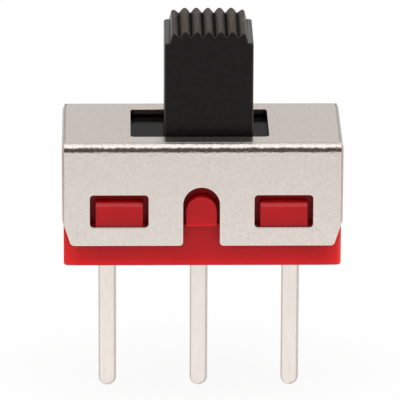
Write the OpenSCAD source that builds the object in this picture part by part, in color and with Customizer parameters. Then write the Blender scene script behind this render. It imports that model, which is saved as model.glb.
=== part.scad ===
// Miniature slide switch for a circuit board: a folded steel frame snapped over a moulded base, a tall
// slider that tips a contact rocker through a spring plunger, and three flat terminals in one row.
// Millimetres. The origin is the common terminal's axis on the seating plane. +X runs along the
// terminal row, +Z points to the slider's grip, and the frame's front wall faces -Y.

/* [Terminals] */
// Distance between neighbouring terminals
pitch = 4.7; // [4.4:0.05:5.1]
// Width of a terminal blade along the row
blade_w = 0.91; // [0.7:0.01:1.1]
// Thickness of a terminal blade
blade_t = 0.5; // [0.3:0.05:0.8]
// Length of a terminal below the seating plane
blade_l = 7.63; // [3:0.01:12]
// How far a shoulder stands out on each side of the blade
shoulder_out = 0.4; // [0.2:0.05:0.6]
// Height of the shoulders
shoulder_h = 0.25; // [0.15:0.05:0.35]
// Height of the staked head above the plate that it holds
stake_h = 0.1; // [0.05:0.01:0.2]

/* [Frame] */
// Depth of the frame from front wall to back wall
frame_d = 6.86; // [6:0.02:8]
// Height of the frame's top above the seating plane
frame_h = 6.62; // [6.4:0.02:8]
// Thickness of the frame's sheet
sheet_t = 0.33; // [0.2:0.01:0.4]
// Inside radius of the two long bends
long_bend_r = 0.17; // [0.1:0.01:0.3]
// Inside radius of the two end bends
end_bend_r = 0.05; // [0.02:0.01:0.1]
// How far the front and back walls stop short of the flaps' outer faces
wall_inset = 0.115; // [0.05:0.005:0.3]
// Gap between a flap's edge and the wall beside it
flap_gap = 0.05; // [0.02:0.01:0.15]
// Height of the front and back walls' lower edge above the seating plane
wall_foot = 1.18; // [0.6:0.01:1.8]
// Height of the flaps' lower edge above the seating plane
flap_foot = 2.07; // [1.8:0.01:2.8]
// Radius of the flaps' lower corners
flap_r = 0.3; // [0.1:0.05:0.6]
// How far a flap's outer face leans in at its foot
flap_lean = 0.1; // [0.02:0.01:0.2]
// Height over which the flap's outer face leans in
flap_lean_h = 0.3; // [0.1:0.01:0.6]
// How far a wall's end edge leans in at its lower corner
taper_w = 0.34; // [0.1:0.01:0.6]
// Height over which the end edge leans in
taper_h = 1.07; // [0.6:0.01:1.8]
// Radius of a wall's lower corners
taper_r = 0.16; // [0.05:0.01:0.3]
// How far the housing's middle lies from the common terminal
housing_x = 0.13; // [-0.2:0.01:0.2]

/* [Windows and notch] */
// How far the middle of the windows and the notch lies from the common terminal
window_x = 0.08; // [-0.2:0.01:0.2]
// Distance between the two windows of a wall
window_pitch = 8.33; // [7:0.01:9]
// Width of a window
window_w = 2.95; // [2.7:0.01:3.3]
// Height of a window
window_h = 1.71; // [1.5:0.01:2]
// Height of a window's lower edge above the seating plane
window_z = 2.18; // [1.9:0.01:2.5]
// Radius of a window's corners
window_r = 0.18; // [0.05:0.01:0.4]
// Width of the notch
notch_w = 1.84; // [1.7:0.01:2.2]
// Height of the notch's round top above the seating plane
notch_top = 4.3; // [4:0.01:4.6]
// Radius where the notch opens out at the wall's lower edge
notch_flare = 0.2; // [0.05:0.01:0.3]

/* [Base] */
// Thickness of the base's long walls
side_wall = 0.7; // [0.5:0.05:0.9]
// Thickness of the base's end walls
end_wall = 0.75; // [0.5:0.05:1]
// Free length between a contact plate and the base's end wall
end_space = 0.51; // [0.4:0.005:1]
// Height of the floor that the contact plates lie on
floor_z = 1.2; // [1:0.05:1.4]
// Depth of the potting recess in the underside
recess_h = 0.45; // [0.4:0.01:0.6]
// Gap between the seating plane and the potting
potting_shy = 0.05; // [0.02:0.01:0.1]
// Gap all round between the base and the frame
base_gap = 0.02; // [0.01:0.01:0.05]
// How far the lower part of the base stays inside the flaps' outer faces
ledge_inset = 0.075; // [0.05:0.005:0.2]
// Gap between the base's end ledges and the flaps
ledge_gap = 0.05; // [0.02:0.01:0.1]
// Radius of the base's lower end edges
base_r = 0.15; // [0.05:0.01:0.3]
// Bevel along the top of a snap lug
lug_bevel = 0.17; // [0.05:0.01:0.3]
// Gap under a snap lug, to the window's lower edge
lug_gap = 0.02; // [0.01:0.01:0.05]
// Gap over a snap lug, to the window's upper edge
lug_top_gap = 0.43; // [0.2:0.01:0.6]
// Gap at each side of a snap lug
lug_side_gap = 0.275; // [0.1:0.005:0.4]
// How far the lugs and the key stay behind the frame's outer face
lug_shy = 0.02; // [0.01:0.01:0.1]
// Gap at each side of the key in the notch
key_side_gap = 0.14; // [0.05:0.01:0.3]
// Height of the key's lower edge above the seating plane
key_z = 2.23; // [1.8:0.01:2.5]
// Gap between the key's round top and the notch
key_top_gap = 0.53; // [0.3:0.01:0.7]

/* [Slider] */
// Width of the grip along the travel
knob_w = 4.5; // [4:0.1:4.9]
// Depth of the grip from front to back
knob_d = 4.05; // [3.4:0.05:4.2]
// Height of the grip's ridges above the frame
knob_h = 5.5; // [4.2:0.02:8]
// Number of ridges
ridge_count = 7; // [3:1:7]
// Depth of the grooves between ridges
ridge_depth = 0.27; // [0.1:0.01:0.35]
// Width of a ridge's blunt top
ridge_flat = 0.08; // [0.04:0.01:0.15]
// How much lower the two outer ridges are
end_ridge_drop = 0.11; // [0.02:0.01:0.2]
// How far the grip's shoulders lie below the ridges
shoulder_drop = 0.6; // [0.5:0.01:0.9]
// Width of each shoulder
shoulder_w = 0.275; // [0.1:0.005:0.5]
// Width of the slope from a shoulder up to the outer ridge
flank_w = 0.16; // [0.1:0.01:0.2]
// Bevel on the grip's upright edges
knob_bevel = 0.1; // [0.05:0.01:0.2]
// Whole stroke of the slider
travel = 2.4; // [2:0.05:2.6]
// Where the slider stands as modelled, from the middle of its stroke
rest_x = 0.45; // [-0.9:0.05:0.9]
// Gap left at the slot's end when the slider is at its limit
stop_gap = 0.035; // [0.03:0.005:0.15]
// Gap between the grip and the slot's long edges
slot_side_gap = 0.14; // [0.05:0.01:0.3]
// Radius of the slot's corners
slot_r = 0.2; // [0.05:0.01:0.3]
// Thickness of the flange under the frame
flange_t = 1.0; // [0.6:0.05:1.2]
// Gap above the flange, and again below it
flange_gap = 0.05; // [0.02:0.01:0.1]
// Gap between the flange's long edges and the frame
flange_side_gap = 0.3; // [0.2:0.01:0.5]
// How far the flange still covers the slot's end at a limit
flange_cover = 0.135; // [0.05:0.005:0.3]
// Wall of the boss that guides the plunger
boss_wall = 0.65; // [0.4:0.05:0.9]
// How far the boss hangs below the flange
boss_h = 1.0; // [0.6:0.05:1.2]
// Solid height above the spring pocket
pocket_roof = 1.75; // [1.2:0.05:2.5]

/* [Rocker and contacts] */
// Height of the rocker's trunnions above the contact plates
pivot_rise = 0.98; // [0.9:0.01:1.1]
// Tilt of the rocker at each end of the stroke, in degrees
tilt_max = 9; // [7:0.5:10]
// Thickness of the rocker's strip
rocker_t = 0.35; // [0.25:0.01:0.4]
// Width of the rocker
rocker_w = 2.4; // [2:0.1:2.6]
// How far the trough reaches past the plunger at a limit
trough_past = 0.15; // [0.1:0.01:0.25]
// How far a wing reaches past its contact dome
wing_past = 0.6; // [0.4:0.05:0.7]
// Radius of the rocker's trunnions
trunnion_r = 0.2; // [0.15:0.01:0.22]
// Running gap round the trunnions
trunnion_gap = 0.03; // [0.02:0.01:0.05]
// Thickness of the contact plates and the cradle
plate_t = 0.4; // [0.25:0.05:0.45]
// Depth of a contact plate from front to back
plate_d = 2.4; // [2:0.1:3]
// How far a contact plate reaches past its blade
plate_past = 0.35; // [0.2:0.05:0.5]
// Radius of a contact dome
dome_r = 0.5; // [0.45:0.01:0.5]
// Gap between a contact dome and its blade
dome_gap = 0.045; // [0.02:0.005:0.1]
// Gap left at the closed contact
contact_gap = 0.02; // [0.01:0.01:0.05]
// Length of the cradle along the row
cradle_l = 1.9; // [1.6:0.1:2.2]
// Length of a cradle ear along the row
ear_l = 1.2; // [1:0.1:1.4]
// Gap between the rocker's strip and each cradle ear
ear_gap = 0.25; // [0.1:0.01:0.3]
// Height of the ears above the trunnions' axis
ear_top = 0.45; // [0.3:0.05:0.6]
// Gap round a blade where it is staked
stake_gap = 0.01; // [0.005:0.005:0.02]

/* [Plunger and spring] */
// Diameter of the plunger
plunger_d = 1.6; // [1.4:0.05:1.7]
// Straight length of the plunger above its round tip
plunger_l = 2.7; // [2.2:0.05:3.2]
// Running gap between the plunger and its pocket
plunger_gap = 0.05; // [0.02:0.01:0.1]
// Gap between the plunger's tip and the rocker's trough
tip_gap = 0.03; // [0.02:0.005:0.05]
// Gap between the plunger's spigot and the spring
spigot_gap = 0.17; // [0.05:0.01:0.25]
// Height of the spigot
spigot_h = 0.6; // [0.3:0.05:0.9]
// Diameter of the spring's wire
wire_d = 0.2; // [0.12:0.01:0.22]
// Number of the spring's turns
turns = 9; // [6:1:11]
// Gap between the spring and its pocket
spring_gap = 0.08; // [0.04:0.01:0.1]

/* [Hidden] */
$fn = 96;

over = 1; // how far a cutting tool runs past what it cuts
hair = 0.001; // keeps the two round corners of a full-round end from meeting in a point
spring_sides = 8; // faces round the spring's wire
spring_steps = 20; // rings of points in one turn of the spring

// Contact plates, and the housing that holds them
plate_top = floor_z + plate_t;
contact_x = pitch - blade_w / 2 - dome_gap - dome_r;
plate_in = contact_x - dome_r - plate_past / 2;
plate_out = pitch + blade_w / 2 + plate_past;
cavity_l = 2 * (plate_out + end_space);
upper_l = cavity_l + 2 * end_wall;

// Frame
frame_l = upper_l + 2 * (sheet_t + base_gap);
wall_l = frame_l - 2 * wall_inset;
flap_d = frame_d - 2 * (sheet_t + flap_gap);
slot_l = knob_w + travel + 2 * stop_gap;
slot_d = knob_d + 2 * slot_side_gap;

// Base
base_d = frame_d - 2 * (sheet_t + base_gap);
lower_l = frame_l - 2 * ledge_inset;
ledge_z = flap_foot - ledge_gap;
flange_top = frame_h - sheet_t - flange_gap;
rim_z = flange_top - flange_t - flange_gap;
cavity_d = base_d - 2 * side_wall;
lug_w = window_w - 2 * lug_side_gap;
key_w = notch_w - 2 * key_side_gap;
key_top = notch_top - key_top_gap;
root_y = base_d / 2 - side_wall / 2;

// Slider
knob_top = frame_h + knob_h;
flange_l = slot_l + travel + 2 * flange_cover;
flange_d = frame_d - 2 * (sheet_t + flange_side_gap);
boss_z = flange_top - flange_t - boss_h;
pocket_d = plunger_d + 2 * plunger_gap;
boss_d = pocket_d + 2 * boss_wall;
pocket_top = knob_top - pocket_roof;

// Rocker. The trough's radius keeps its surface level under the plunger while the rocker tilts with it.
pivot_z = plate_top + pivot_rise;
tilt_per_mm = tilt_max / (travel / 2);
rest_tilt = tilt_per_mm * rest_x;
trough_r = 90 / (PI * tilt_per_mm);
trough_half = travel / 2 + trough_past;
trough_w = rocker_t / 2;
wing_top = trough_w + trough_r - sqrt(pow(trough_r, 2) - pow(trough_half, 2));
wing_low = wing_top - rocker_t;
wing_l = contact_x + wing_past;
ear_y = rocker_w / 2 + ear_gap;

// Contact domes: a sphere that just clears the wing's underside at full tilt
dome_z = pivot_z + (wing_low - dome_r - contact_gap - contact_x * sin(tilt_max)) / cos(tilt_max);

// Plunger and spring
tip_z = pivot_z + trough_w + tip_gap;
plunger_top = tip_z + plunger_d / 2 + plunger_l;
coil_r = pocket_d / 2 - spring_gap - wire_d / 2;
spigot_d = 2 * (coil_r - wire_d / 2 - spigot_gap);

// Lay a drawing of (depth, height) upright and run it along X
module along_x(length) {
    rotate([90, 0, 90]) linear_extrude(length, center = true) children();
}

// Lay a drawing of (length, height) upright and run it along Y
module along_y(depth) {
    rotate([90, 0, 0]) linear_extrude(depth, center = true) children();
}

// Turn half way round the vertical axis for the -1 side
module on_side(side) {
    rotate([0, 0, side > 0 ? 0 : 180]) children();
}

// Copy to both ends of the housing
module both_ends() {
    for (side = [-1, 1]) translate([housing_x, 0, 0]) on_side(side) children();
}

// Rectangle with its middle at the origin and four round corners
module rounded_rect(w, h, r) {
    square([w - 2 * r, h], center = true);
    square([w, h - 2 * r], center = true);
    for (x = [-1, 1], y = [-1, 1]) translate([x * (w / 2 - r), y * (h / 2 - r)]) circle(r);
}

// Rectangle from foot to top with its two upper corners round
module arch(w, foot, top, r) {
    translate([-w / 2, foot]) square([w, top - r - foot]);
    translate([-w / 2 + r, foot]) square([w - 2 * r, top - foot]);
    for (x = [-1, 1]) translate([x * (w / 2 - r), top - r]) circle(r);
}

// Rectangle from foot to top with its two lower corners round
module trough(w, foot, top, r) {
    mirror([0, 1]) arch(w, -top, -foot, r);
}

// What a radius r takes off the corner at point v, whose edges leave along the unit vectors a and b
module corner_waste(v, a, b, r) {
    half = acos(a * b) / 2;
    run = r / tan(half);
    centre = v + (r / sin(half)) * (a + b) / norm(a + b);
    difference() {
        polygon([v, v + run * a, centre, v + run * b]);
        translate(centre) circle(r);
    }
}

// A folded box without its corner reliefs: where the long bends' and the end bends' sections cross
module folded_block(l, d, foot, top, long_r, end_r) {
    intersection() {
        along_x(l + over) arch(d, foot, top, long_r);
        along_y(d + over) arch(l, foot, top, end_r);
    }
}

// ---------------------------------------------------------------- frame

// Outline of an end flap, as (depth, height), run on past the top
module flap_outline() {
    trough(flap_d, flap_foot, frame_h + over, flap_r);
}

// The corner reliefs and the space under one end flap, and what its outer face loses at its foot
module flap_cuts() {
    relief_x = frame_l / 2 - sheet_t - flap_gap;
    relief_top = frame_h - sheet_t - long_bend_r;
    translate([(wall_l + over) / 2, 0, 0]) along_x(over) difference() {
        translate([-frame_d, 0]) square([2 * frame_d, frame_h + over / 2]);
        flap_outline();
    }
    translate([(relief_x + wall_l / 2) / 2, 0, 0]) along_x(wall_l / 2 - relief_x) difference() {
        translate([-frame_d / 2 + sheet_t, 0]) square([frame_d - 2 * sheet_t, relief_top]);
        flap_outline();
    }
    along_y(flap_d + flap_gap) polygon([
        [frame_l / 2 - flap_lean, flap_foot], [frame_l / 2, flap_foot + flap_lean_h],
        [frame_l / 2 + over, flap_foot + flap_lean_h], [frame_l / 2 + over, flap_foot - over],
        [frame_l / 2 - flap_lean, flap_foot - over]
    ]);
}

// What leans in at one lower corner of the front and back walls, as (length, height)
module taper_waste() {
    v = [wall_l / 2 - taper_w, wall_foot];
    lean = [taper_w, taper_h] / norm([taper_w, taper_h]);
    polygon([
        v, [wall_l / 2, wall_foot + taper_h], [wall_l / 2 + over, wall_foot + taper_h],
        [wall_l / 2 + over, wall_foot - over], [v.x, wall_foot - over]
    ]);
    corner_waste(v, [-1, 0], lean, taper_r);
}

// The round-topped notch, flared where it meets the wall's lower edge, as (length, height)
module notch() {
    half = notch_w / 2;
    arch(notch_w, wall_foot - over, notch_top, half - hair);
    for (side = [-1, 1]) mirror([side > 0 ? 0 : 1, 0]) difference() {
        translate([0, wall_foot - over]) square([half + notch_flare, notch_flare + over]);
        translate([half + notch_flare, wall_foot + notch_flare]) circle(notch_flare);
        translate([half, wall_foot + notch_flare]) square([over, over]);
    }
}

module frame() {
    color("silver") difference() {
        translate([housing_x, 0, 0]) difference() {
            folded_block(frame_l, frame_d, wall_foot, frame_h, long_bend_r + sheet_t, end_bend_r + sheet_t);
            folded_block(
                frame_l - 2 * sheet_t, frame_d - 2 * sheet_t, 0, frame_h - sheet_t, long_bend_r, end_bend_r
            );
        }
        both_ends() flap_cuts();
        translate([housing_x, 0, 0]) along_y(frame_d + over) for (m = [0, 1]) mirror([m, 0]) taper_waste();
        along_y(frame_d + over) translate([window_x, 0]) notch();
        for (side = [-1, 1]) along_y(frame_d + over)
            translate([window_x + side * window_pitch / 2, window_z + window_h / 2])
                rounded_rect(window_w, window_h, window_r);
        translate([0, 0, frame_h - sheet_t - over / 2]) linear_extrude(sheet_t + over)
            rounded_rect(slot_l, slot_d, slot_r);
    }
}

// ---------------------------------------------------------------- base

// One snap lug on the +Y side
module lug() {
    low = window_z + lug_gap;
    top = window_z + window_h - lug_top_gap;
    out = frame_d / 2 - lug_shy;
    along_x(lug_w) polygon([
        [root_y, low], [out, low], [out, top - lug_bevel], [out - lug_bevel, top], [root_y, top]
    ]);
}

// The key on the +Y side
module key() {
    out = frame_d / 2 - lug_shy;
    translate([0, (root_y + out) / 2, 0]) along_y(out - root_y)
        arch(key_w, key_z, key_top, key_w / 2 - hair);
}

// The base's outside: a wide foot, a narrower box between the flaps, and the lugs and keys on both walls
module base_shell() {
    translate([housing_x, 0, 0]) along_y(base_d) {
        trough(lower_l, 0, ledge_z, base_r);
        translate([-upper_l / 2, ledge_z / 2]) square([upper_l, rim_z - ledge_z / 2]);
    }
    translate([window_x, 0, 0]) for (wall = [-1, 1]) on_side(wall) {
        key();
        for (side = [-1, 1]) translate([side * window_pitch / 2, 0, 0]) lug();
    }
}

module base() {
    color("firebrick") difference() {
        base_shell();
        translate([housing_x - cavity_l / 2, -cavity_d / 2, floor_z])
            cube([cavity_l, cavity_d, rim_z + over - floor_z]);
        potting_recess(-over);
        for (i = [-1, 0, 1]) translate([i * pitch, 0, 0]) blade_hole(base_gap, 0, floor_z + over);
    }
}

// The recess in the underside, from height low up to the floor
module potting_recess(low) {
    translate([housing_x - cavity_l / 2, -cavity_d / 2, low]) cube([cavity_l, cavity_d, recess_h - low]);
}

// A straight hole for a blade with a gap all round
module blade_hole(gap, low, high) {
    translate([0, 0, (low + high) / 2])
        cube([blade_w + 2 * gap, blade_t + 2 * gap, high - low], center = true);
}

module terminal_seal() {
    color("maroon") difference() {
        potting_recess(potting_shy);
        for (i = [-1, 0, 1]) translate([i * pitch, 0, 0]) terminal();
    }
}

// ---------------------------------------------------------------- terminals and contacts

// Flat blade with a full-round tip, a shoulder under the base's floor and a staked head
module terminal() {
    along_y(blade_t) {
        trough(blade_w, -blade_l, plate_top + stake_h, blade_w / 2 - hair);
        translate([-blade_w / 2 - shoulder_out, recess_h - shoulder_h])
            square([blade_w + 2 * shoulder_out, shoulder_h]);
    }
}

module terminal_left() {
    color("gainsboro") translate([-pitch, 0, 0]) terminal();
}

module terminal_common() {
    color("gainsboro") terminal();
}

module terminal_right() {
    color("gainsboro") translate([pitch, 0, 0]) terminal();
}

// Fixed contact of the +X side: a plate staked on the blade, with the dome that the rocker meets
module contact_plate() {
    difference() {
        translate([plate_in, -plate_d / 2, floor_z]) cube([plate_out - plate_in, plate_d, plate_t]);
        translate([pitch, 0, 0]) blade_hole(stake_gap, floor_z - over, plate_top + over);
    }
    intersection() {
        translate([contact_x, 0, dome_z]) sphere(dome_r);
        translate([plate_in, -plate_d / 2, floor_z + plate_t / 2])
            cube([plate_out - plate_in, plate_d, plate_t + dome_r]);
    }
}

module contact_left() {
    color("goldenrod") on_side(-1) contact_plate();
}

module contact_right() {
    color("goldenrod") contact_plate();
}

// Forked seat of the rocker, staked on the common terminal
module cradle() {
    color("darkgoldenrod") difference() {
        union() {
            translate([-cradle_l / 2, -ear_y - plate_t, floor_z])
                cube([cradle_l, 2 * (ear_y + plate_t), plate_t]);
            for (side = [-1, 1]) on_side(side) translate([-ear_l / 2, ear_y, floor_z])
                cube([ear_l, plate_t, pivot_z + ear_top - floor_z]);
        }
        blade_hole(stake_gap, floor_z - over, plate_top + over);
        translate([0, 0, pivot_z]) along_y(2 * (ear_y + plate_t) + over)
            trough(2 * (trunnion_r + trunnion_gap), -trunnion_r - trunnion_gap, ear_top + over,
                trunnion_r + trunnion_gap - hair);
    }
}

// ---------------------------------------------------------------- moving pieces

// The rocker's strip about its pivot, as (length, height)
module rocker_outline() {
    intersection() {
        translate([0, trough_w + trough_r]) difference() {
            circle(trough_r + rocker_t, $fn = 240);
            circle(trough_r, $fn = 240);
        }
        translate([-trough_half, -over]) square([2 * trough_half, 2 * over]);
    }
    for (side = [0, 1]) mirror([side, 0]) translate([trough_half - rocker_t / 4, wing_low])
        square([wing_l - trough_half + rocker_t / 4, rocker_t]);
}

module rocker() {
    color("khaki") translate([0, 0, pivot_z]) rotate([0, rest_tilt, 0]) {
        along_y(rocker_w) rocker_outline();
        rotate([90, 0, 0]) cylinder(r = trunnion_r, h = 2 * (ear_y + plate_t - stake_gap), center = true);
    }
}

// The grip's outline, as (length, height), from the flange up to the ridges
module grip_outline() {
    middle = (ridge_count - 1) / 2;
    ridge_pitch = (knob_w / 2 - shoulder_w - flank_w - ridge_flat / 2) / middle;
    function ridge_top(i) = knob_top - (i == 0 || i == ridge_count - 1 ? end_ridge_drop : 0);
    reach = knob_w / 2 - shoulder_w;
    shoulder_z = knob_top - shoulder_drop;
    ridges = [
        for (i = [0:ridge_count - 1]) let (x = (i - middle) * ridge_pitch) each concat(
            [[x - ridge_flat / 2, ridge_top(i)], [x + ridge_flat / 2, ridge_top(i)]],
            i < ridge_count - 1 ? [[x + ridge_pitch / 2, knob_top - ridge_depth]] : []
        )
    ];
    polygon(concat(
        [[knob_w / 2, flange_top - flange_t / 2], [-knob_w / 2, flange_top - flange_t / 2]],
        [[-knob_w / 2, shoulder_z], [-reach, shoulder_z]],
        ridges,
        [[reach, shoulder_z], [knob_w / 2, shoulder_z]]
    ));
}

// The grip's plan: a rectangle with its four corners cut off
module grip_plan() {
    w = knob_w / 2;
    d = knob_d / 2;
    b = knob_bevel;
    polygon([
        [w - b, -d], [w, b - d], [w, d - b], [w - b, d], [b - w, d], [-w, d - b], [-w, b - d], [b - w, -d]
    ]);
}

module slider() {
    color("dimgray") translate([rest_x, 0, 0]) difference() {
        union() {
            intersection() {
                along_y(knob_d + over) grip_outline();
                translate([0, 0, flange_top - flange_t / 2]) linear_extrude(knob_top + over) grip_plan();
            }
            translate([-flange_l / 2, -flange_d / 2, flange_top - flange_t])
                cube([flange_l, flange_d, flange_t]);
            translate([0, 0, boss_z]) cylinder(d = boss_d, h = boss_h + flange_t / 2);
        }
        translate([0, 0, boss_z - over]) cylinder(d = pocket_d, h = pocket_top - boss_z + over);
    }
}

module plunger() {
    color("whitesmoke") translate([rest_x, 0, tip_z + plunger_d / 2]) {
        sphere(d = plunger_d);
        cylinder(d = plunger_d, h = plunger_l);
        cylinder(d = spigot_d, h = plunger_l + spigot_h);
    }
}

// Coil spring with one closed turn at each end, as rings of points along the helix
module plunger_spring() {
    sides = spring_sides;
    steps = round(turns * spring_steps);
    rise = pocket_top - plunger_top - wire_d;
    closed = 1.1 * wire_d; // rise of a closed end turn
    function lift(t) = lookup(t, [[0, 0], [1, closed], [turns - 1, rise - closed], [turns, rise]]);
    points = [
        for (i = [0:steps], s = [0:sides - 1])
            let (
                turn = 360 * i / spring_steps, around = 360 * s / sides,
                r = coil_r + wire_d / 2 * cos(around)
            )
            [r * cos(turn), r * sin(turn), lift(i / spring_steps) + wire_d / 2 * sin(around)]
    ];
    skin = [
        for (i = [0:steps - 1], s = [0:sides - 1])
            let (a = i * sides + s, b = i * sides + (s + 1) % sides)
            each [[a, b, b + sides], [a, b + sides, a + sides]]
    ];
    caps = [
        [for (s = [sides - 1:-1:0]) s],
        [for (s = [0:sides - 1]) steps * sides + s]
    ];
    color("lightsteelblue") translate([rest_x, 0, plunger_top + wire_d / 2])
        polyhedron(points, concat(skin, caps), convexity = 10);
}

frame();
base();
slider();
plunger();
plunger_spring();
rocker();
cradle();
contact_left();
contact_right();
terminal_left();
terminal_common();
terminal_right();
terminal_seal();
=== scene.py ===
"""Fine shapes and finishes of a miniature slide switch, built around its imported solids.

Every size below is in millimetres. A piece is shaped in millimetres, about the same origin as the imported
solids, and its mesh is scaled to metres as the last step. +X runs along the terminal row, +Z points to the
grip and the front wall faces -Y.
"""

import logging
import math
from collections.abc import Callable, Iterable
from dataclasses import dataclass, field
from enum import Enum
from functools import reduce
from typing import Self

import bmesh
import bpy
from mathutils import Matrix, Quaternion, Vector


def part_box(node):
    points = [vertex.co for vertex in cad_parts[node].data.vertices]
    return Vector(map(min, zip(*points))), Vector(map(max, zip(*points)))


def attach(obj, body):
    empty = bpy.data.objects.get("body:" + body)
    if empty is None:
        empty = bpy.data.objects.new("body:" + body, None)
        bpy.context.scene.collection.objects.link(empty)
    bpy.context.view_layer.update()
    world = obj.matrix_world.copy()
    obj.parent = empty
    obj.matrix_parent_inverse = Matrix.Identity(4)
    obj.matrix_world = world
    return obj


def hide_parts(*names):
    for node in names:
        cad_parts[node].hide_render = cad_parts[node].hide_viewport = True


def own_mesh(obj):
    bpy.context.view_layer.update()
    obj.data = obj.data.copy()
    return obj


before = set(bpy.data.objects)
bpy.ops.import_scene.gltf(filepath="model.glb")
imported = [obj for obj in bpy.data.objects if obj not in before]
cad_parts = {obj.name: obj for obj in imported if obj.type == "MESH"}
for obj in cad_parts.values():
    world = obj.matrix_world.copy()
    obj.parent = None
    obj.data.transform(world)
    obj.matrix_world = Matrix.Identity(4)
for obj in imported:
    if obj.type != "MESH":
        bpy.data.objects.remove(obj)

LOG = logging.getLogger("slide_switch")
MM = 0.001  # metres in a millimetre
TO_METRES = Vector((MM, MM, MM))
MERGE = 1e-4  # millimetres between two vertices that are one
TOUCH = 1e-5  # how far from the middle a full rounding's two arcs end
PAST = 1.0  # how far a cutting tool runs past what it cuts
SMOOTH_UNDER = math.radians(32)  # edges that fold less than this are shaded as one surface
FLAT_UNDER = math.radians(0.5)  # faces that fold less than this are one face
STRAIGHT = 0.9999  # how far an edge of length 1 reaches along the axis that it runs along
MOSTLY = 0.5  # how far the normal of a flat face reaches along the axis that it faces
SIDES = (-1, 1)  # left and right, or front and back
PLACES = (-1, 0, 1)  # the three terminals, from the left
PITCH = 4.7  # between two terminals
OPENINGS_X = 0.08  # the middle of the frame's windows and notches, and of the base's lugs and keys
OPENINGS_PITCH = 8.33  # between the two windows of a wall
FLOOR = 1.2  # the top of the base's floor, on which the contacts lie
REST_X = 0.45  # where the slider stands at rest
SPRING_TOP = 10.37  # the top of the slider's pocket and of the spring in it
LARGE_FACES = 100  # how strongly the larger faces set the shading at their corners

Edge = bmesh.types.BMEdge
Vert = bmesh.types.BMVert
Test = Callable[[Vector], bool]


class Axis(Enum):
    """The three axes."""

    X = Vector((1, 0, 0))
    Y = Vector((0, 1, 0))
    Z = Vector((0, 0, 1))


class Join(Enum):
    """What a second solid does to the first."""

    ADD = "UNION"
    CUT = "DIFFERENCE"


class Body(Enum):
    """The bodies that pieces ride on."""

    HOUSING = "housing"
    ACTUATOR = "actuator"
    PLUNGER = "plunger"
    ROCKER = "rocker"


def at(x: float = 0.0, y: float = 0.0, z: float = 0.0) -> Vector:
    """A place, a distance or a size."""
    return Vector((x, y, z))


def extent(x: float, y: float = 0.0, z: float = 0.0) -> Vector:
    """A dataclass field that holds a place or a size along each axis."""
    return field(default_factory=lambda: at(x, y, z))


# ---------------------------------------------------------------------------------------------- shaping


@dataclass(frozen=True)
class Box:
    """An upright box."""

    low: Vector
    high: Vector

    @classmethod
    def of(cls, node: str) -> Self:
        """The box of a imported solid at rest."""
        return cls(*(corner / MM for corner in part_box(node)))

    @property
    def middle(self) -> Vector:
        """The box's middle."""
        return (self.low + self.high) / 2

    @property
    def size(self) -> Vector:
        """The box's length along each axis."""
        return self.high - self.low


@dataclass(frozen=True)
class Arc:
    """A rounding: how far from an edge it starts, and how many faces make it."""

    radius: float
    faces: int = 3

    @classmethod
    def full(cls, width: float, faces: int) -> Self:
        """The rounding of two edges that makes a half circle between them."""
        return cls(width / 2 - TOUCH, faces)


def middle_of(edge: Edge) -> Vector:
    """An edge's middle."""
    return (edge.verts[0].co + edge.verts[1].co) / 2


def way_of(edge: Edge) -> Vector:
    """The way that an edge runs."""
    return (edge.verts[1].co - edge.verts[0].co).normalized()


def anywhere(middle: Vector) -> bool:
    """The test of a middle that each one passes."""
    return True


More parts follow.
